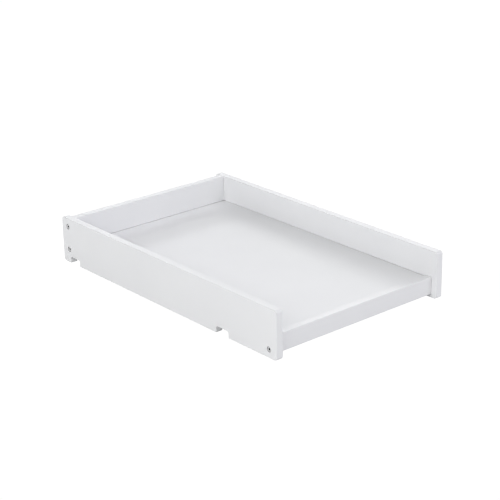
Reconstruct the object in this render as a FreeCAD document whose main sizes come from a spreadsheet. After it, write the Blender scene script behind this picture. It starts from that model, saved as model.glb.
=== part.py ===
import FreeCAD, Part
import os

import Sketcher
from FreeCAD import Placement, Rotation, Vector

# Cot top changer: a bolted tray of painted boards that sits across the side rails of a cot.
# Frame: origin under the middle of the tray, on the surface that the side panels stand on.
# +X runs from the tall end panel to the low front rail, -Y is the left side, +Z is up.

doc = FreeCAD.newDocument("cot_top_changer")

# ---------------------------------------------------------------------------------------------
# Driving dimensions, in millimetres
# ---------------------------------------------------------------------------------------------
DIMENSIONS = [
    # tray
    ("overall_length", 880.0),
    ("overall_width", 560.0),
    ("side_height", 127.0),
    ("board_thickness", 20.0),
    ("edge_radius", 1.5),
    ("corner_radius", 8.0),
    # end panel, set in from the rear ends of the side panels
    ("end_inset", 17.0),
    ("end_bottom", 18.0),
    ("end_top", 126.5),
    ("joint_edge_radius", 1.0),
    # front rail, set in from the front ends of the side panels
    ("rail_inset", 17.0),
    ("rail_bottom", 10.0),
    ("rail_top", 57.3),
    ("rail_edge_radius", 2.0),
    ("rail_joint_radius", 1.8),
    # base panel and the grooves that hold it
    ("base_thickness", 6.0),
    ("base_top", 52.4),
    ("base_edge_radius", 0.8),
    ("groove_depth", 7.0),
    ("groove_slack", 0.8),
    ("groove_end_slack", 0.5),
    ("groove_stop", 411.0),
    # notches for the side rails of the cot
    ("notch_depth", 17.5),
    ("rear_notch_start", -407.5),
    ("rear_notch_end", -365.5),
    ("front_notch_start", 218.0),
    ("front_notch_end", 264.5),
    ("notch_radius", 6.0),
    ("notch_lip_radius", 2.0),
    # connector bolts
    ("rear_bolt_low", 38.0),
    ("rear_bolt_high", 103.5),
    ("front_bolt_height", 22.0),
    ("bolt_diameter", 6.0),
    ("bolt_length", 60.0),
    ("bolt_hole", 7.0),
    ("bolt_hole_depth", 50.0),
    ("bolt_head_diameter", 13.6),
    ("bolt_head_height", 4.5),
    ("bolt_head_bevel", 0.6),
    ("bolt_tip_bevel", 1.0),
    ("socket_flats", 5.0),
    ("socket_depth", 3.2),
    ("counterbore_diameter", 15.5),
    ("counterbore_depth", 6.3),
    # barrel nuts
    ("nut_diameter", 10.0),
    ("nut_length", 14.0),
    ("nut_bevel", 0.6),
    ("nut_bore", 6.1),
    ("nut_hole", 10.2),
    ("nut_setback", 38.0),
    ("nut_slot_width", 1.6),
    ("nut_slot_depth", 1.6),
    # wooden dowels
    ("dowel_diameter", 8.0),
    ("dowel_bevel", 1.2),
    ("dowel_hole", 8.1),
    ("dowel_in_side", 11.0),
    ("dowel_in_cross", 24.0),
    ("dowel_slack", 1.0),
    ("rear_dowel_low", 62.0),
    ("rear_dowel_high", 82.0),
    ("front_dowel_height", 37.5),
]

sheet = doc.addObject("Spreadsheet::Sheet", "Sizes")
for row, (alias, value) in enumerate(DIMENSIONS, 1):
    sheet.set("A%d" % row, alias)
    sheet.set("B%d" % row, str(value))
    sheet.setAlias("B%d" % row, alias)
doc.recompute()


def size(text):
    """An expression with each alias named by the sheet it stands in."""
    for alias in sorted((name for name, value in DIMENSIONS), key=len, reverse=True):
        text = text.replace("<" + alias + ">", "Sizes." + alias)
    return text


def number(text):
    """The present value of an expression."""
    return float(sheet.evalExpression(size(text)))


# Expressions that several boards share
HALF_LENGTH = "<overall_length> / 2"
INNER_HALF_WIDTH = "(<overall_width> / 2 - <board_thickness>)"
END_OUTER = "(-<overall_length> / 2 + <end_inset>)"
END_MIDDLE = "(-<overall_length> / 2 + <end_inset> + <board_thickness> / 2)"
RAIL_BACK = "(<overall_length> / 2 - <rail_inset> - <board_thickness>)"
RAIL_MIDDLE = "(<overall_length> / 2 - <rail_inset> - <board_thickness> / 2)"
GROOVE_BOTTOM = "(<base_top> - <base_thickness>)"
GROOVE_TOP = "(<base_top> + <groove_slack>)"


# ---------------------------------------------------------------------------------------------
# Sketch and feature helpers
# ---------------------------------------------------------------------------------------------
def plane(body, role):
    for feature in body.Origin.OriginFeatures:
        if feature.Role == role:
            return feature
    raise RuntimeError("no plane " + role)


def new_body(label):
    body = doc.addObject("PartDesign::Body", label)
    body.Label = label
    return body


def new_sketch(body, name, role, offset=None):
    sketch = body.newObject("Sketcher::SketchObject", name)
    sketch.AttachmentSupport = [(plane(body, role), "")]
    sketch.MapMode = "FlatFace"
    if offset is not None:
        sketch.setExpression("AttachmentOffset.Base.z", size(offset))
    return sketch


def fix(sketch, axis, geo, point, text):
    """Holds one coordinate of a point at an expression."""
    value = number(text)
    if abs(value) < 1e-9:
        sketch.addConstraint(Sketcher.Constraint("PointOnObject", geo, point, -2 if axis == "X" else -1))
    elif value > 0:
        k = sketch.addConstraint(Sketcher.Constraint("Distance" + axis, -1, 1, geo, point, value))
        sketch.setExpression("Constraints[%d]" % k, size(text))
    else:
        k = sketch.addConstraint(Sketcher.Constraint("Distance" + axis, geo, point, -1, 1, -value))
        sketch.setExpression("Constraints[%d]" % k, "-(" + size(text) + ")")


def outline(sketch, corners):
    """A closed outline through corners given as pairs of expressions."""
    points = [Vector(number(a), number(b), 0) for a, b in corners]
    count = len(points)
    lines = [sketch.addGeometry(Part.LineSegment(points[i], points[(i + 1) % count]), False) for i in range(count)]
    for i in range(count):
        sketch.addConstraint(Sketcher.Constraint("Coincident", lines[i], 2, lines[(i + 1) % count], 1))
    square = all(abs(points[i].x - points[i - 1].x) < 1e-9 or abs(points[i].y - points[i - 1].y) < 1e-9
                 for i in range(count))
    for i in range(count):
        after = points[(i + 1) % count]
        if not square:
            fix(sketch, "X", lines[i], 1, corners[i][0])
            fix(sketch, "Y", lines[i], 1, corners[i][1])
        elif abs(points[i].y - after.y) < 1e-9:
            sketch.addConstraint(Sketcher.Constraint("Horizontal", lines[i]))
            fix(sketch, "Y", lines[i], 1, corners[i][1])
        else:
            sketch.addConstraint(Sketcher.Constraint("Vertical", lines[i]))
            fix(sketch, "X", lines[i], 1, corners[i][0])


def rectangle(sketch, x0, x1, y0, y1):
    outline(sketch, [(x0, y0), (x1, y0), (x1, y1), (x0, y1)])


def circle(sketch, x, y, diameter):
    geo = sketch.addGeometry(Part.Circle(Vector(number(x), number(y), 0), Vector(0, 0, 1), number(diameter) / 2), False)
    fix(sketch, "X", geo, 3, x)
    fix(sketch, "Y", geo, 3, y)
    k = sketch.addConstraint(Sketcher.Constraint("Diameter", geo, number(diameter)))
    sketch.setExpression("Constraints[%d]" % k, size(diameter))


def hexagon(sketch, flats):
    """A hexagon about the sketch's origin, two of its corners on the horizontal axis."""
    across = number(flats) / 3.0 ** 0.5
    ring = sketch.addGeometry(Part.Circle(Vector(0, 0, 0), Vector(0, 0, 1), across), True)
    sketch.addConstraint(Sketcher.Constraint("Coincident", ring, 3, -1, 1))
    turns = [Rotation(Vector(0, 0, 1), 60 * i).multVec(Vector(across, 0, 0)) for i in range(6)]
    lines = [sketch.addGeometry(Part.LineSegment(turns[i], turns[(i + 1) % 6]), False) for i in range(6)]
    for i in range(6):
        sketch.addConstraint(Sketcher.Constraint("Coincident", lines[i], 2, lines[(i + 1) % 6], 1))
    for i in range(6):
        sketch.addConstraint(Sketcher.Constraint("PointOnObject", lines[i], 1, ring))
    for i in range(1, 6):
        sketch.addConstraint(Sketcher.Constraint("Equal", lines[0], lines[i]))
    sketch.addConstraint(Sketcher.Constraint("PointOnObject", lines[0], 1, -1))
    k = sketch.addConstraint(Sketcher.Constraint("Diameter", ring, 2 * across))
    sketch.setExpression("Constraints[%d]" % k, size("2 * (" + flats + ") / sqrt(3)"))


def finish_feature(body, feature, change=None):
    """Recomputes a new feature, makes it the body's tip, and checks that it added or took away volume."""
    before = body.Shape.Volume if not body.Shape.isNull() else 0.0
    body.Tip = feature
    doc.recompute()
    after = body.Shape.Volume
    if change == "cut" and not after < before - 1e-3:
        raise RuntimeError(body.Label + "." + feature.Name + " cut nothing")
    if change == "add" and not after > before + 1e-3:
        raise RuntimeError(body.Label + "." + feature.Name + " added nothing")
    return feature


def pad(body, sketch, name, length):
    feature = body.newObject("PartDesign::Pad", name)
    feature.Profile = sketch
    feature.setExpression("Length", size(length))
    return finish_feature(body, feature, "add")


def pocket(body, sketch, name, depth, into_normal=False):
    """A pocket cut against the sketch's normal, or along it."""
    feature = body.newObject("PartDesign::Pocket", name)
    feature.Profile = sketch
    feature.Type = "Length"
    feature.setExpression("Length", size(depth))
    feature.Reversed = into_normal
    return finish_feature(body, feature, "cut")


def through_pocket(body, sketch, name):
    feature = body.newObject("PartDesign::Pocket", name)
    feature.Profile = sketch
    feature.Type = "ThroughAll"
    feature.Midplane = True
    return finish_feature(body, feature, "cut")


def counterbored_hole(body, sketch, name):
    """Bolt holes drilled right through the board, with a flat counterbore for the head."""
    doc.recompute()
    feature = body.newObject("PartDesign::Hole", name)
    feature.Profile = sketch
    doc.recompute()
    feature.ThreadType = "None"
    feature.setExpression("Diameter", size("<bolt_hole>"))
    feature.DepthType = "ThroughAll"
    feature.HoleCutType = "Counterbore"
    feature.HoleCutCustomValues = True
    feature.setExpression("HoleCutDiameter", size("<counterbore_diameter>"))
    feature.setExpression("HoleCutDepth", size("<counterbore_depth>"))
    return finish_feature(body, feature, "cut")


def revolve(body, sketch, name, axis):
    feature = body.newObject("PartDesign::Revolution", name)
    feature.Profile = sketch
    feature.ReferenceAxis = (sketch, [axis])
    feature.Angle = 360.0
    return finish_feature(body, feature, "add")


def fillet(body, base, name, radius, pick):
    """Rounds the edges that pick chooses by their end points and middle."""
    names = []
    for i, edge in enumerate(base.Shape.Edges, 1):
        if pick(edge):
            names.append("Edge%d" % i)
    if not names:
        raise RuntimeError(body.Label + "." + name + " found no edges")
    feature = body.newObject("PartDesign::Fillet", name)
    feature.Base = (base, names)
    feature.setExpression("Radius", size(radius))
    return finish_feature(body, feature)


def pair_up(body, base, name, length):
    """A second copy of a fastener, higher up."""
    feature = body.newObject("PartDesign::LinearPattern", name)
    feature.TransformMode = "Whole shape"
    feature.Direction = (plane(body, "Z_Axis"), [""])
    feature.setExpression("Length", size(length))
    feature.Occurrences = 2
    return finish_feature(body, feature, "add")


def middle(edge):
    return edge.valueAt((edge.FirstParameter + edge.LastParameter) / 2.0)


def straight_along(edge, axis):
    if edge.Curve.TypeId != "Part::GeomLine":
        return False
    run = edge.Vertexes[-1].Point - edge.Vertexes[0].Point
    return abs(run.dot(axis)) > run.Length - 1e-6


def near(a, b):
    return abs(a - b) < 1e-4


X, Y, Z = Vector(1, 0, 0), Vector(0, 1, 0), Vector(0, 0, 1)


# ---------------------------------------------------------------------------------------------
# Side panels. In a panel's own frame its inner face is at y = 0 and its outer face at
# y = -board_thickness. The right panel is turned half round about Z, so its x runs backwards.
# ---------------------------------------------------------------------------------------------
def side_panel(label, side):
    body = new_body(label)

    def along(text):
        return text if side < 0 else "-(" + text + ")"

    profile = new_sketch(body, label + "_profile", "XZ_Plane")
    outline(profile, [
        (along("-(" + HALF_LENGTH + ")"), "0"),
        (along("<rear_notch_start>"), "0"),
        (along("<rear_notch_start>"), "<notch_depth>"),
        (along("<rear_notch_end>"), "<notch_depth>"),
        (along("<rear_notch_end>"), "0"),
        (along("<front_notch_start>"), "0"),
        (along("<front_notch_start>"), "<notch_depth>"),
        (along("<front_notch_end>"), "<notch_depth>"),
        (along("<front_notch_end>"), "0"),
        (along(HALF_LENGTH), "0"),
        (along(HALF_LENGTH), "<side_height>"),
        (along("-(" + HALF_LENGTH + ")"), "<side_height>"),
    ])
    board = pad(body, profile, label + "_board", "<board_thickness>")

    half = number(HALF_LENGTH)
    depth = number("<notch_depth>")
    notch_sides = [number(along(n)) for n in
                   ("<rear_notch_start>", "<rear_notch_end>", "<front_notch_start>", "<front_notch_end>")]
    board = fillet(body, board, label + "_corners", "<corner_radius>", lambda e: straight_along(e, Y)
                   and near(abs(middle(e).x), half))
    board = fillet(body, board, label + "_notch_tops", "<notch_radius>", lambda e: straight_along(e, Y)
                   and near(middle(e).z, depth) and any(near(middle(e).x, x) for x in notch_sides))
    board = fillet(body, board, label + "_notch_lips", "<notch_lip_radius>", lambda e: straight_along(e, Y)
                   and near(middle(e).z, 0) and any(near(middle(e).x, x) for x in notch_sides))
    thick = number("<board_thickness>")
    board = fillet(body, board, label + "_edges", "<edge_radius>", lambda e:
                   all(near(v.Point.y, 0) for v in e.Vertexes) and near(middle(e).y, 0)
                   or all(near(v.Point.y, -thick) for v in e.Vertexes) and near(middle(e).y, -thick))

    # groove for the base panel, stopped inside the end panel and the front rail
    groove = new_sketch(body, label + "_groove_outline", "XZ_Plane")
    rectangle(groove, along("-<groove_stop>"), along("<groove_stop>"), GROOVE_BOTTOM, GROOVE_TOP)
    pocket(body, groove, label + "_groove", "<groove_depth>", into_normal=True)

    # bolt holes from the outer face
    bolts = new_sketch(body, label + "_bolt_centres", "XZ_Plane", "<board_thickness>")
    circle(bolts, along(END_MIDDLE), "<rear_bolt_low>", "<bolt_hole>")
    circle(bolts, along(END_MIDDLE), "<rear_bolt_high>", "<bolt_hole>")
    circle(bolts, along(RAIL_MIDDLE), "<front_bolt_height>", "<bolt_hole>")
    counterbored_hole(body, bolts, label + "_bolt_holes")

    # blind dowel holes from the inner face
    dowels = new_sketch(body, label + "_dowel_centres", "XZ_Plane")
    circle(dowels, along(END_MIDDLE), "<rear_dowel_low>", "<dowel_hole>")
    circle(dowels, along(END_MIDDLE), "<rear_dowel_high>", "<dowel_hole>")
    circle(dowels, along(RAIL_MIDDLE), "<front_dowel_height>", "<dowel_hole>")
    pocket(body, dowels, label + "_dowel_holes", "<dowel_in_side> + <dowel_slack>", into_normal=True)

    body.Placement.Rotation = Rotation(Z, 0 if side < 0 else 180)
    body.setExpression("Placement.Base.y", size(("-" if side < 0 else "") + INNER_HALF_WIDTH))
    return body


# ---------------------------------------------------------------------------------------------
# Cross boards: the end panel and the front rail. In a board's own frame its rear face is at
# x = 0 and its front face at x = board_thickness.
# ---------------------------------------------------------------------------------------------
def cross_board(label, bottom, top, radius, joint_radius, groove_face, bolt_heights, dowel_heights, place):
    body = new_body(label)
    thick = number("<board_thickness>")
    reach = number(INNER_HALF_WIDTH)

    face = new_sketch(body, label + "_face", "YZ_Plane")
    rectangle(face, "-" + INNER_HALF_WIDTH, INNER_HALF_WIDTH, bottom, top)
    board = pad(body, face, label + "_board", "<board_thickness>")
    board = fillet(body, board, label + "_long_edges", radius, lambda e: straight_along(e, Y))
    board = fillet(body, board, label + "_joint_edges", joint_radius, lambda e:
                   all(near(abs(v.Point.y), reach) for v in e.Vertexes) and near(abs(middle(e).y), reach))

    # groove for the base panel, right along the board
    groove = new_sketch(body, label + "_groove_outline", "YZ_Plane", groove_face)
    rectangle(groove, "-" + INNER_HALF_WIDTH, INNER_HALF_WIDTH, GROOVE_BOTTOM, GROOVE_TOP)
    pocket(body, groove, label + "_groove", "<groove_depth>", into_normal=near(number(groove_face), 0))

    # bolt and dowel holes in both ends; an end's plane faces -Y
    for end, offset, along_normal in (("left", INNER_HALF_WIDTH, False), ("right", "-" + INNER_HALF_WIDTH, True)):
        bolts = new_sketch(body, label + "_" + end + "_bolt_centres", "XZ_Plane", offset)
        for height in bolt_heights:
            circle(bolts, "<board_thickness> / 2", height, "<bolt_hole>")
        pocket(body, bolts, label + "_" + end + "_bolt_holes", "<bolt_hole_depth>", into_normal=along_normal)
        dowels = new_sketch(body, label + "_" + end + "_dowel_centres", "XZ_Plane", offset)
        for height in dowel_heights:
            circle(dowels, "<board_thickness> / 2", height, "<dowel_hole>")
        pocket(body, dowels, label + "_" + end + "_dowel_holes", "<dowel_in_cross> + <dowel_slack>",
               into_normal=along_normal)

    # cross holes for the barrel nuts, from the rear face
    nuts = new_sketch(body, label + "_nut_centres", "YZ_Plane")
    for height in bolt_heights:
        circle(nuts, "-(" + INNER_HALF_WIDTH + " - <nut_setback>)", height, "<nut_hole>")
        circle(nuts, INNER_HALF_WIDTH + " - <nut_setback>", height, "<nut_hole>")
    pocket(body, nuts, label + "_nut_holes", "<board_thickness> / 2 + <nut_length> / 2", into_normal=True)

    body.setExpression("Placement.Base.x", size(place))
    return body


# ---------------------------------------------------------------------------------------------
# Fasteners
# ---------------------------------------------------------------------------------------------
def set_place(body, side, x, y, z):
    """Places a fastener on the left, or turned half round about Z on the right."""
    body.Placement.Rotation = Rotation(Z, 0 if side < 0 else 180)
    body.setExpression("Placement.Base.x", size(x))
    body.setExpression("Placement.Base.y", size(("-(" if side < 0 else "(") + y + ")"))
    body.setExpression("Placement.Base.z", size(z))


def bolts(label, side, x, low, high=None):
    """Hex-socket connector bolts along +Y, their heads' undersides at y = 0."""
    body = new_body(label)
    body.AllowCompound = True
    profile = new_sketch(body, label + "_profile", "XY_Plane")
    outline(profile, [
        ("0", "-<bolt_head_height>"),
        ("<bolt_head_diameter> / 2 - <bolt_head_bevel>", "-<bolt_head_height>"),
        ("<bolt_head_diameter> / 2", "-<bolt_head_height> + <bolt_head_bevel>"),
        ("<bolt_head_diameter> / 2", "0"),
        ("<bolt_diameter> / 2", "0"),
        ("<bolt_diameter> / 2", "<bolt_length> - <bolt_tip_bevel>"),
        ("<bolt_diameter> / 2 - <bolt_tip_bevel>", "<bolt_length>"),
        ("0", "<bolt_length>"),
    ])
    bolt = revolve(body, profile, label + "_turned", "V_Axis")
    socket = new_sketch(body, label + "_socket_outline", "XZ_Plane", "<bolt_head_height>")
    hexagon(socket, "<socket_flats>")
    bolt = pocket(body, socket, label + "_socket", "<socket_depth>")
    if high is not None:
        pair_up(body, bolt, label + "_pair", high + " - " + low)
    set_place(body, side, x, "<overall_width> / 2 - <counterbore_depth>", low)
    return body


def barrel_nuts(label, side, x, low, high=None):
    """Barrel nuts along X, cross-bored along Y, with a slot in the end at the mouth of the hole."""
    body = new_body(label)
    body.AllowCompound = True
    profile = new_sketch(body, label + "_profile", "XY_Plane")
    half = "<nut_length> / 2"
    outline(profile, [
        ("-" + half, "0"),
        (half, "0"),
        (half, "<nut_diameter> / 2 - <nut_bevel>"),
        (half + " - <nut_bevel>", "<nut_diameter> / 2"),
        ("-" + half + " + <nut_bevel>", "<nut_diameter> / 2"),
        ("-" + half, "<nut_diameter> / 2 - <nut_bevel>"),
    ])
    revolve(body, profile, label + "_turned", "H_Axis")
    bore = new_sketch(body, label + "_bore_outline", "XZ_Plane")
    circle(bore, "0", "0", "<nut_bore>")
    through_pocket(body, bore, label + "_bore")
    mouth = "-" if side < 0 else ""
    slot = new_sketch(body, label + "_slot_outline", "YZ_Plane", mouth + half)
    rectangle(slot, "-<nut_diameter>", "<nut_diameter>", "-<nut_slot_width> / 2", "<nut_slot_width> / 2")
    nut = pocket(body, slot, label + "_slot", "<nut_slot_depth>", into_normal=side < 0)
    if high is not None:
        pair_up(body, nut, label + "_pair", high + " - " + low)
    set_place(body, side, x, INNER_HALF_WIDTH + " - <nut_setback>", low)
    return body


def dowels(label, side, x, low, high=None):
    """Wooden dowels along +Y, across the joint at y = 0."""
    body = new_body(label)
    body.AllowCompound = True
    profile = new_sketch(body, label + "_profile", "XY_Plane")
    outline(profile, [
        ("0", "-<dowel_in_side>"),
        ("<dowel_diameter> / 2 - <dowel_bevel>", "-<dowel_in_side>"),
        ("<dowel_diameter> / 2", "-<dowel_in_side> + <dowel_bevel>"),
        ("<dowel_diameter> / 2", "<dowel_in_cross> - <dowel_bevel>"),
        ("<dowel_diameter> / 2 - <dowel_bevel>", "<dowel_in_cross>"),
        ("0", "<dowel_in_cross>"),
    ])
    dowel = revolve(body, profile, label + "_turned", "V_Axis")
    if high is not None:
        pair_up(body, dowel, label + "_pair", high + " - " + low)
    set_place(body, side, x, INNER_HALF_WIDTH, low)
    return body


# ---------------------------------------------------------------------------------------------
# The assembly
# ---------------------------------------------------------------------------------------------
LEFT, RIGHT = -1, 1
pieces = [
    side_panel("left_side_panel", LEFT),
    side_panel("right_side_panel", RIGHT),
    cross_board("end_panel", "<end_bottom>", "<end_top>", "<edge_radius>", "<joint_edge_radius>", "<board_thickness>",
                ["<rear_bolt_low>", "<rear_bolt_high>"], ["<rear_dowel_low>", "<rear_dowel_high>"], END_OUTER),
    cross_board("front_rail", "<rail_bottom>", "<rail_top>", "<rail_edge_radius>", "<rail_joint_radius>", "0",
                ["<front_bolt_height>"], ["<front_dowel_height>"], RAIL_BACK),
]

# base panel: a thin sheet housed in the grooves of all four boards
base = new_body("base_panel")
sheet_outline = new_sketch(base, "base_panel_outline", "XY_Plane")
rectangle(sheet_outline,
          END_OUTER + " + <board_thickness> - <groove_depth> + <groove_end_slack>",
          RAIL_BACK + " + <groove_depth> - <groove_end_slack>",
          "-(" + INNER_HALF_WIDTH + " + <groove_depth> - <groove_end_slack>)",
          INNER_HALF_WIDTH + " + <groove_depth> - <groove_end_slack>")
flat_sheet = pad(base, sheet_outline, "base_panel_sheet", "<base_thickness>")
fillet(base, flat_sheet, "base_panel_eased_edges", "<base_edge_radius>", lambda e: True)
base.setExpression("Placement.Base.z", size(GROOVE_BOTTOM))
pieces.append(base)

for word, side in (("left", LEFT), ("right", RIGHT)):
    rear, front = "rear_" + word, "front_" + word
    pieces.append(bolts(rear + "_bolts", side, END_MIDDLE, "<rear_bolt_low>", "<rear_bolt_high>"))
    pieces.append(bolts(front + "_bolt", side, RAIL_MIDDLE, "<front_bolt_height>"))
    pieces.append(barrel_nuts(rear + "_barrel_nuts", side, END_MIDDLE, "<rear_bolt_low>", "<rear_bolt_high>"))
    pieces.append(barrel_nuts(front + "_barrel_nut", side, RAIL_MIDDLE, "<front_bolt_height>"))
    pieces.append(dowels(rear + "_dowels", side, END_MIDDLE, "<rear_dowel_low>", "<rear_dowel_high>"))
    pieces.append(dowels(front + "_dowel", side, RAIL_MIDDLE, "<front_dowel_height>"))

doc.recompute()

# ---------------------------------------------------------------------------------------------
# Tests of the document, then the shapes
# ---------------------------------------------------------------------------------------------
for item in doc.Objects:
    if "Invalid" in item.State or "Error" in item.State:
        raise RuntimeError(item.Label + " is not sound: " + ", ".join(item.State))
    if item.TypeId == "Sketcher::SketchObject" and not item.FullyConstrained:
        raise RuntimeError(item.Label + " is not fully constrained")

for piece in pieces:
    shape = piece.Shape
    if shape.isNull() or not shape.isValid():
        raise RuntimeError(piece.Label + " has no valid shape")
    print("%-26s solids %d  volume %10.1f  box %s" % (
        piece.Label, len(shape.Solids), shape.Volume,
        " ".join("%.2f" % v for v in (shape.BoundBox.XMin, shape.BoundBox.XMax, shape.BoundBox.YMin,
                                      shape.BoundBox.YMax, shape.BoundBox.ZMin, shape.BoundBox.ZMax))))

os.makedirs("parts", exist_ok=True)
for piece in pieces:
    piece.Shape.exportStep("parts/" + piece.Label + ".step")
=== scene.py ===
import math

import bpy
from mathutils import Matrix, Vector


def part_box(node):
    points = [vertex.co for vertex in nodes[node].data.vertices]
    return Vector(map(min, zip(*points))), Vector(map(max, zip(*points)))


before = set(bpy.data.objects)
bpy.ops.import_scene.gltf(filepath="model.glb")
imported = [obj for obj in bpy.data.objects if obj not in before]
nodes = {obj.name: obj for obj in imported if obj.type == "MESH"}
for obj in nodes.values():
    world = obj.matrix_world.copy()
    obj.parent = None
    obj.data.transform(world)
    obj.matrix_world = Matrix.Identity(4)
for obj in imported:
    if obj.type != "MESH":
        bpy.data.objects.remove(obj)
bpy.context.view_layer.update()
scene = bpy.context.scene


# ---------------------------------------------------------------------------------------------
# Node helpers
# ---------------------------------------------------------------------------------------------
def new_material(name):
    material = bpy.data.materials.new(name)
    material.use_nodes = True
    tree = material.node_tree
    tree.nodes.clear()
    output = tree.nodes.new("ShaderNodeOutputMaterial")
    shader = tree.nodes.new("ShaderNodeBsdfPrincipled")
    tree.links.new(shader.outputs["BSDF"], output.inputs["Surface"])
    return material, tree, shader


def coordinates(tree, scale=(1.0, 1.0, 1.0)):
    """Object coordinates, in metres, stretched by scale."""
    place = tree.nodes.new("ShaderNodeTexCoord")
    mapping = tree.nodes.new("ShaderNodeMapping")
    mapping.inputs["Scale"].default_value = scale
    tree.links.new(place.outputs["Object"], mapping.inputs["Vector"])
    return mapping.outputs["Vector"]


def noise(tree, vector, scale, detail=2.0, roughness=0.5):
    node = tree.nodes.new("ShaderNodeTexNoise")
    node.inputs["Scale"].default_value = scale
    node.inputs["Detail"].default_value = detail
    node.inputs["Roughness"].default_value = roughness
    tree.links.new(vector, node.inputs["Vector"])
    return node.outputs["Fac"]


def spread(tree, value, low, high, start=0.3, end=0.7):
    """Maps a noise value onto a range."""
    node = tree.nodes.new("ShaderNodeMapRange")
    node.inputs["From Min"].default_value = start
    node.inputs["From Max"].default_value = end
    node.inputs["To Min"].default_value = low
    node.inputs["To Max"].default_value = high
    tree.links.new(value, node.inputs["Value"])
    return node.outputs["Result"]


def two_tone(tree, value, dark, light, start=0.3, end=0.7):
    node = tree.nodes.new("ShaderNodeValToRGB")
    node.color_ramp.elements[0].position = start
    node.color_ramp.elements[0].color = (*dark, 1.0)
    node.color_ramp.elements[1].position = end
    node.color_ramp.elements[1].color = (*light, 1.0)
    tree.links.new(value, node.inputs["Fac"])
    return node.outputs["Color"]


def bump(tree, height, distance, strength, under=None):
    node = tree.nodes.new("ShaderNodeBump")
    node.inputs["Strength"].default_value = strength
    node.inputs["Distance"].default_value = distance
    tree.links.new(height, node.inputs["Height"])
    if under is not None:
        tree.links.new(under, node.inputs["Normal"])
    return node.outputs["Normal"]


def calculate(tree, operation, *values):
    """A math node over numbers and other nodes' results."""
    node = tree.nodes.new("ShaderNodeMath")
    node.operation = operation
    for socket, value in zip(node.inputs, values):
        if isinstance(value, (int, float)):
            socket.default_value = value
        else:
            tree.links.new(value, socket)
    return node.outputs["Value"]


def axes_of(tree):
    """The x, y and z of a point, in metres."""
    place = tree.nodes.new("ShaderNodeTexCoord")
    parts = tree.nodes.new("ShaderNodeSeparateXYZ")
    tree.links.new(place.outputs["Object"], parts.inputs["Vector"])
    return parts.outputs


def within(tree, value, low, high):
    """1 where a value lies between two numbers, 0 elsewhere."""
    above = calculate(tree, "GREATER_THAN", value, low)
    below = calculate(tree, "LESS_THAN", value, high)
    return calculate(tree, "MULTIPLY", above, below)


def in_hole(tree, a, b, centre, radius):
    """1 inside a drilled hole whose axis goes through centre in the plane of a and b."""
    across = calculate(tree, "SUBTRACT", a, centre[0])
    along = calculate(tree, "SUBTRACT", b, centre[1])
    reach = calculate(tree, "ADD", calculate(tree, "MULTIPLY", across, across),
                      calculate(tree, "MULTIPLY", along, along))
    return calculate(tree, "LESS_THAN", reach, radius * radius)


def blend(tree, share, first, second):
    node = tree.nodes.new("ShaderNodeMix")
    node.data_type = "RGBA"
    tree.links.new(share, node.inputs["Factor"])
    tree.links.new(first, node.inputs[6])
    tree.links.new(second, node.inputs[7])
    return node.outputs[2]


# ---------------------------------------------------------------------------------------------
# Masks for the bolt holes, barrel nut holes and the base's grooves: painted shade in the grooves and counterbores,
# bare fibre where the nut holes were drilled after painting
# ---------------------------------------------------------------------------------------------
def middle(node):
    low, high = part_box(node)
    return [(a + b) / 2.0 for a, b in zip(low, high)]


def heights(node, radius):
    """The heights of the fasteners in a node, from the top and bottom of its box."""
    low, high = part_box(node)
    return sorted({round(low[2] + radius, 5), round(high[2] - radius, 5)})


HEAD, COUNTERBORE, SOCKET = 0.0068, 0.00785, 0.0031
NUT, NUT_HOLE = 0.005, 0.00515
bolt_axes = [(middle("rear_left_bolts")[0], z) for z in heights("rear_left_bolts", HEAD)]
bolt_axes += [(middle("front_left_bolt")[0], z) for z in heights("front_left_bolt", HEAD)]
head_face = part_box("front_right_bolt")[1][1]
nut_side = abs(middle("front_left_barrel_nut")[1])
rear_nuts = heights("rear_left_barrel_nuts", NUT)
front_nuts = heights("front_left_barrel_nut", NUT)
end_low, end_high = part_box("end_panel")
rail_low, rail_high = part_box("front_rail")
base_low, base_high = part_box("base_panel")
groove_low, groove_high = base_low[2] - 0.0001, base_high[2] + 0.0010
PAINT_LAP = 0.0003


def side_grooves(tree):
    """The side panels' grooves, darkened with painted shade where the base meets them: full towards the front, fading
    to 0.15 towards the rear.
    """
    x, y, z = axes_of(tree)
    inside = calculate(tree, "ABSOLUTE", y)
    cut = calculate(tree, "MULTIPLY", within(tree, z, groove_low, groove_high),
                    within(tree, inside, end_high[1] + PAINT_LAP, base_high[1] + 0.001))
    cut = calculate(tree, "MULTIPLY", cut, within(tree, x, base_low[0] - 0.0015, base_high[0] + 0.0015))
    # the painted shade is full towards the front and fades towards the rear
    return calculate(tree, "MULTIPLY", cut, spread(tree, x, 0.15, 1.0, 0.05, 0.32))


def bolt_holes(tree):
    # the counterbores, where painted shade greys the paint
    x, y, z = axes_of(tree)
    holes = [in_hole(tree, x, z, axis, COUNTERBORE) for axis in bolt_axes]
    cut = holes[0]
    for hole in holes[1:]:
        cut = calculate(tree, "MAXIMUM", cut, hole)
    return cut


def bolt_sockets(tree):
    """The hexagon sockets, under the heads' faces, where the steel is darkened with painted shade."""
    x, y, z = axes_of(tree)
    deep = calculate(tree, "LESS_THAN", calculate(tree, "ABSOLUTE", y), head_face - 0.0004)
    holes = [in_hole(tree, x, z, axis, SOCKET) for axis in bolt_axes]
    cut = holes[0]
    for hole in holes[1:]:
        cut = calculate(tree, "MAXIMUM", cut, hole)
    return calculate(tree, "MULTIPLY", cut, deep)


def cross_grooves(tree):
    # the grooves of the end panel and rail, where painted shade darkens the gap along the base
    x, y, z = axes_of(tree)
    cut = within(tree, x, base_low[0] - 0.001, end_high[0] - PAINT_LAP)
    cut = calculate(tree, "MAXIMUM", cut, within(tree, x, rail_low[0] + PAINT_LAP, base_high[0] + 0.001))
    return calculate(tree, "MULTIPLY", cut, within(tree, z, groove_low, groove_high))


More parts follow.
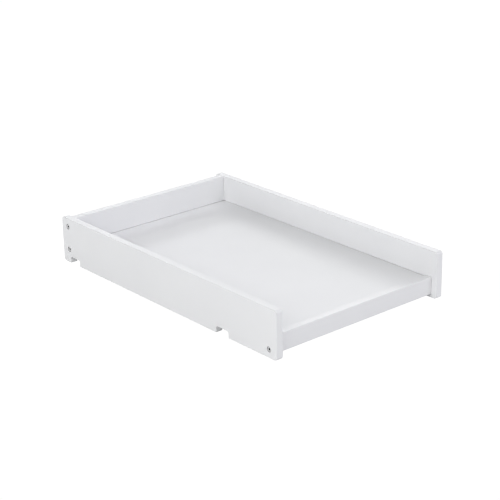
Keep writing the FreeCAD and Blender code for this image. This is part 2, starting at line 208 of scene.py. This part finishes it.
def nut_holes(tree):
    x, y, z = axes_of(tree)
    inside = calculate(tree, "ABSOLUTE", y)
    cut = None
    for start, end, levels in ((end_low[0], end_high[0] - 0.0025, rear_nuts), (rail_low[0], rail_high[0] - 0.0025, front_nuts)):
        for level in levels:
            hole = in_hole(tree, inside, z, (nut_side, level), NUT_HOLE)
            hole = calculate(tree, "MULTIPLY", hole, within(tree, x, start - 0.001, end))
            cut = hole if cut is None else calculate(tree, "MAXIMUM", cut, hole)
    return cut


# ---------------------------------------------------------------------------------------------
# Materials
# ---------------------------------------------------------------------------------------------
WHITE_LOW = (0.884, 0.889, 0.900)
WHITE_HIGH = (0.902, 0.907, 0.917)
FIBRE = ((0.30, 0.22, 0.15), (0.46, 0.36, 0.26))
# painted shade for the end panel's and rail's grooves: the dark gap along the base
CROSS_GROOVE_SHADE = ((0.070, 0.056, 0.044), (0.120, 0.100, 0.080))
# painted shade for the side panels' grooves: the dark gap along the base
SIDE_GROOVE_SHADE = ((0.050, 0.042, 0.034), (0.090, 0.076, 0.060))
# painted shade for the bolts' counterbores: a grey a little darker than the white paint
COUNTERBORE_SHADE = ((0.72, 0.72, 0.725), (0.82, 0.82, 0.825))


def paint(name, grain, rough, peel, tell, cuts=()):
    """Satin white paint on a sanded board: a faint cloudiness in the colour, the fine orange peel of a sprayed
    coat, and the board's grain telegraphing very slightly through it along grain, as much as tell says. In the
    cuts the colour is blended with the tones given with each: painted shade in the grooves and counterbores, bare
    fibre in the nut holes."""
    material, tree, shader = new_material(name)
    plain = coordinates(tree)
    stretched = coordinates(tree, grain)
    colour = two_tone(tree, noise(tree, plain, 7.0, detail=3.0), WHITE_LOW, WHITE_HIGH)
    gloss = spread(tree, noise(tree, plain, 60.0, detail=2.0), rough - 0.012, rough + 0.012)
    for cut, tones in cuts:
        # each cut's tones go into the colour: painted shade in the grooves and counterbores, bare fibre in the nut
        # holes
        fibre_or_shade = cut(tree)
        colour = blend(tree, fibre_or_shade, colour, two_tone(tree, noise(tree, plain, 1500.0, detail=3.0), *tones))
        gloss = calculate(tree, "ADD", gloss, calculate(tree, "MULTIPLY", fibre_or_shade, 0.40))
    tree.links.new(colour, shader.inputs["Base Color"])
    tree.links.new(gloss, shader.inputs["Roughness"])
    shader.inputs["IOR"].default_value = 1.47
    shader.inputs["Specular IOR Level"].default_value = 0.42
    under = bump(tree, noise(tree, stretched, 40.0, detail=4.0, roughness=0.6), 0.0004, tell)
    under = bump(tree, noise(tree, plain, 420.0, detail=2.0), 0.0004, peel, under)
    tree.links.new(under, shader.inputs["Normal"])
    return material


def plated_steel(name, tint, rough, axis, sockets=None):
    """Zinc-plated steel with turning marks round axis and a mottled passivated film. In the sockets the colour is
    darkened with painted shade and the steel is duller."""
    material, tree, shader = new_material(name)
    plain = coordinates(tree)
    film = noise(tree, plain, 900.0, detail=3.0)
    dark = tuple(0.80 * c for c in tint)
    colour = two_tone(tree, film, dark, tint)
    gloss = spread(tree, noise(tree, plain, 2600.0, detail=2.0), rough - 0.07, rough + 0.09)
    if sockets is not None:
        deep = sockets(tree)
        # painted shade: the sockets' steel darkened to a 0.18 to 0.28 grey
        colour = blend(tree, deep, colour, two_tone(tree, film, (0.18, 0.18, 0.18), (0.28, 0.28, 0.28)))
        gloss = calculate(tree, "ADD", gloss, calculate(tree, "MULTIPLY", deep, 0.25))
    tree.links.new(colour, shader.inputs["Base Color"])
    tree.links.new(gloss, shader.inputs["Roughness"])
    shader.inputs["Metallic"].default_value = 1.0
    marks = noise(tree, coordinates(tree, tuple(1.0 if i == axis else 0.08 for i in range(3))), 3800.0, detail=2.0)
    tree.links.new(bump(tree, marks, 0.0001, 0.12), shader.inputs["Normal"])
    return material


def beech(name):
    """Bare beech with its grain and rays along Y."""
    material, tree, shader = new_material(name)
    along = coordinates(tree, (1.0, 0.06, 1.0))
    rays = coordinates(tree, (1.0, 0.18, 1.0))
    grain = noise(tree, along, 900.0, detail=4.0, roughness=0.6)
    tree.links.new(two_tone(tree, grain, (0.46, 0.29, 0.16), (0.66, 0.46, 0.28)), shader.inputs["Base Color"])
    tree.links.new(spread(tree, grain, 0.55, 0.75), shader.inputs["Roughness"])
    under = bump(tree, grain, 0.0003, 0.15)
    tree.links.new(bump(tree, noise(tree, rays, 2400.0, detail=2.0), 0.0002, 0.12, under), shader.inputs["Normal"])
    return material


ALONG_X, ALONG_Y = (0.05, 1.0, 1.0), (1.0, 0.05, 1.0)
# side panels: painted shade in the grooves and counterbores
side_paint = paint("side_paint", ALONG_X, 0.44, 0.05, 0.03, [(side_grooves, SIDE_GROOVE_SHADE), (bolt_holes, COUNTERBORE_SHADE)])
# end panel and rail: painted shade in the grooves, bare fibre in the nut holes
cross_cuts = [(cross_grooves, CROSS_GROOVE_SHADE), (nut_holes, FIBRE)]
end_paint = paint("end_paint", ALONG_Y, 0.46, 0.05, 0.03, cross_cuts)
rail_paint = paint("rail_paint", ALONG_Y, 0.395, 0.05, 0.03, cross_cuts)
base_paint = paint("base_paint", ALONG_X, 0.50, 0.04, 0.012)
bolt_steel = plated_steel("bolt_steel", (0.90, 0.90, 0.905), 0.42, 1, bolt_sockets)
nut_steel = plated_steel("nut_steel", (0.60, 0.60, 0.60), 0.36, 0)
dowel_wood = beech("dowel_wood")


def dress(node, material):
    mesh = nodes[node].data
    mesh.materials.clear()
    mesh.materials.append(material)


for node in ("left_side_panel", "right_side_panel"):
    dress(node, side_paint)
dress("end_panel", end_paint)
dress("front_rail", rail_paint)
dress("base_panel", base_paint)
for side in ("left", "right"):
    dress("rear_" + side + "_bolts", bolt_steel)
    dress("front_" + side + "_bolt", bolt_steel)
    dress("rear_" + side + "_barrel_nuts", nut_steel)
    dress("front_" + side + "_barrel_nut", nut_steel)
    dress("rear_" + side + "_dowels", dowel_wood)
    dress("front_" + side + "_dowel", dowel_wood)


# ---------------------------------------------------------------------------------------------
# Camera: the photograph's viewing angle
# ---------------------------------------------------------------------------------------------
AZIMUTH, ELEVATION, ROLL = math.radians(49.919), math.radians(21.196), math.radians(-1.064)
DISTANCE, ACROSS, UPWARD, LIFT = 3.8797, 0.01056, 0.07267, 0.001
FOCAL_PIXELS, FRAME_PIXELS = 1464.36, 500.0

back = Vector((math.sin(AZIMUTH) * math.cos(ELEVATION), -math.cos(AZIMUTH) * math.cos(ELEVATION), math.sin(ELEVATION)))
level = Vector((math.cos(AZIMUTH), math.sin(AZIMUTH), 0.0))
upright = back.cross(level)
right = math.cos(ROLL) * level + math.sin(ROLL) * upright
up = math.cos(ROLL) * upright - math.sin(ROLL) * level

camera_data = bpy.data.cameras.new("camera")
camera_data.sensor_width = 36.0
camera_data.lens = 36.0 * FOCAL_PIXELS / FRAME_PIXELS
camera_data.clip_start, camera_data.clip_end = 0.1, 100.0
camera = bpy.data.objects.new("camera", camera_data)
scene.collection.objects.link(camera)
turn = Matrix((right, up, back)).transposed().to_4x4()
camera.matrix_world = Matrix.Translation(back * DISTANCE + right * ACROSS + up * UPWARD + Vector((0.0, 0.0, LIFT))) @ turn
scene.camera = camera


# ---------------------------------------------------------------------------------------------
# Floor
# ---------------------------------------------------------------------------------------------
def make_floor(half):
    mesh = bpy.data.meshes.new("floor")
    mesh.from_pydata([(-half, -half, 0), (half, -half, 0), (half, half, 0), (-half, half, 0)], [], [(0, 1, 2, 3)])
    floor = bpy.data.objects.new("floor", mesh)
    scene.collection.objects.link(floor)
    floor.location = (0.0, 0.0, -0.0005)
    material = bpy.data.materials.new("pale_floor")
    material.use_nodes = True
    tree = material.node_tree
    tree.nodes.clear()
    output = tree.nodes.new("ShaderNodeOutputMaterial")
    paper = tree.nodes.new("ShaderNodeBsdfDiffuse")
    paper.name = "bounce"
    paper.inputs["Color"].default_value = (0.75, 0.75, 0.75, 1.0)
    glow = tree.nodes.new("ShaderNodeEmission")
    glow.name = "glow"
    glow.inputs["Color"].default_value = (0.985, 1.000, 0.995, 1.0)
    glow.inputs["Strength"].default_value = 0.081
    lit = tree.nodes.new("ShaderNodeAddShader")
    tree.links.new(paper.outputs[0], lit.inputs[0])
    tree.links.new(glow.outputs[0], lit.inputs[1])
    bright = tree.nodes.new("ShaderNodeEmission")
    bright.inputs["Color"].default_value = (1.0, 1.0, 1.0, 1.0)
    bright.inputs["Strength"].default_value = 1.02
    clear = tree.nodes.new("ShaderNodeBsdfTransparent")
    path = tree.nodes.new("ShaderNodeLightPath")
    face = tree.nodes.new("ShaderNodeNewGeometry")
    seen = tree.nodes.new("ShaderNodeMixShader")
    sided = tree.nodes.new("ShaderNodeMixShader")
    tree.links.new(path.outputs["Is Camera Ray"], seen.inputs[0])
    tree.links.new(lit.outputs[0], seen.inputs[1])
    tree.links.new(bright.outputs[0], seen.inputs[2])
    tree.links.new(face.outputs["Backfacing"], sided.inputs[0])
    tree.links.new(seen.outputs[0], sided.inputs[1])
    tree.links.new(clear.outputs[0], sided.inputs[2])
    tree.links.new(sided.outputs[0], output.inputs["Surface"])
    # The glow is even and wide, so it isn't sampled as a lamp.
    material.cycles.emission_sampling = "NONE"
    mesh.materials.append(material)
    return floor


make_floor(30.0)


# ---------------------------------------------------------------------------------------------
# Light: a soft white studio
# ---------------------------------------------------------------------------------------------
AMBIENT = 0.211
AMBIENT_COLOUR = (0.995, 0.995, 1.000)

world = bpy.data.worlds.new("studio")
scene.world = world
world.use_nodes = True
tree = world.node_tree
tree.nodes.clear()
world_output = tree.nodes.new("ShaderNodeOutputWorld")
ambient = tree.nodes.new("ShaderNodeBackground")
ambient.name = "ambient"
ambient.inputs["Color"].default_value = (*AMBIENT_COLOUR, 1.0)
ambient.inputs["Strength"].default_value = AMBIENT
white = tree.nodes.new("ShaderNodeBackground")
white.inputs["Color"].default_value = (1.0, 1.0, 1.0, 1.0)
white.inputs["Strength"].default_value = 1.02
path = tree.nodes.new("ShaderNodeLightPath")
either = tree.nodes.new("ShaderNodeMixShader")
tree.links.new(path.outputs["Is Camera Ray"], either.inputs[0])
tree.links.new(ambient.outputs[0], either.inputs[1])
tree.links.new(white.outputs[0], either.inputs[2])
tree.links.new(either.outputs[0], world_output.inputs["Surface"])

# name, elevation and azimuth in degrees (azimuth from +X towards +Y), width, watts, colour
LIGHTS = [
    ("near_wall", 12.0, 270.0, 3.2, 19.5, (0.986, 0.988, 1.000)),
    ("front_wall", 12.0, 315.0, 3.2, 16.3, (0.968, 0.973, 1.000)),
    ("left_wall", 12.0, 225.0, 3.2, 33.6, (0.966, 0.980, 1.000)),
    ("far_wall", 12.0, 45.0, 3.2, 46.6, (0.880, 0.878, 1.000)),
    ("back_wall", 12.0, 135.0, 3.2, 29.8, (0.938, 0.939, 1.000)),
    ("right_wall", 12.0, 90.0, 3.2, 48.6, (0.929, 0.860, 1.000)),
    ("rear_wall", 12.0, 180.0, 3.2, 63.7, (0.980, 1.000, 0.933)),
    ("near_soft", 38.0, 292.5, 3.2, 118.3, (1.000, 0.998, 0.996)),
    ("right_soft", 38.0, 22.5, 3.2, 87.0, (0.974, 0.973, 1.000)),
    ("back_key", 24.0, 135.0, 0.9, 8.7, (0.995, 1.000, 0.975)),
    ("end_key", 22.0, 150.0, 0.9, 29.2, (0.953, 0.975, 1.000)),
    ("high_key", 32.0, 135.0, 0.9, 22.9, (0.972, 1.000, 0.976)),
    ("corner_key", 26.0, 122.0, 0.9, 30.1, (0.995, 1.000, 0.987)),
    ("far_key", 48.0, 75.0, 0.9, 26.5, (0.964, 0.949, 1.000)),
    ("top_key", 56.0, 120.0, 0.9, 15.4, (0.972, 0.982, 1.000)),
    ("low_near", 5.0, 275.0, 0.9, 11.5, (0.982, 0.966, 1.000)),
    ("low_front", 5.0, 295.0, 0.9, 6.7, (0.961, 1.000, 0.879)),
    ("near_key", 21.0, 275.0, 0.9, 13.4, (0.999, 1.000, 0.991)),
    ("front_key", 21.0, 315.0, 0.9, 15.4, (0.977, 0.967, 1.000)),
]

AIM = Vector((0.0, 0.0, 0.06))
LIGHT_DISTANCE = 6.4
for name, elevation, azimuth, width, watts, colour in LIGHTS:
    data = bpy.data.lights.new(name, "AREA")
    data.shape = "SQUARE"
    data.size = width
    data.energy = watts
    data.color = colour
    lamp = bpy.data.objects.new(name, data)
    scene.collection.objects.link(lamp)
    tilt, turn = math.radians(elevation), math.radians(azimuth)
    way = Vector((math.cos(tilt) * math.cos(turn), math.cos(tilt) * math.sin(turn), math.sin(tilt)))
    lamp.location = AIM + way * LIGHT_DISTANCE
    lamp.rotation_mode = "QUATERNION"
    lamp.rotation_quaternion = (-way).to_track_quat("-Z", "Y")

scene.cycles.filter_width = 1.0
scene.view_settings.view_transform = "Standard"
scene.view_settings.look = "None"
scene.view_settings.exposure = 0.0
scene.view_settings.gamma = 1.0

# ---------------------------------------------------------------------------------------------
# Final update of the view layer
# ---------------------------------------------------------------------------------------------
bpy.context.view_layer.update()
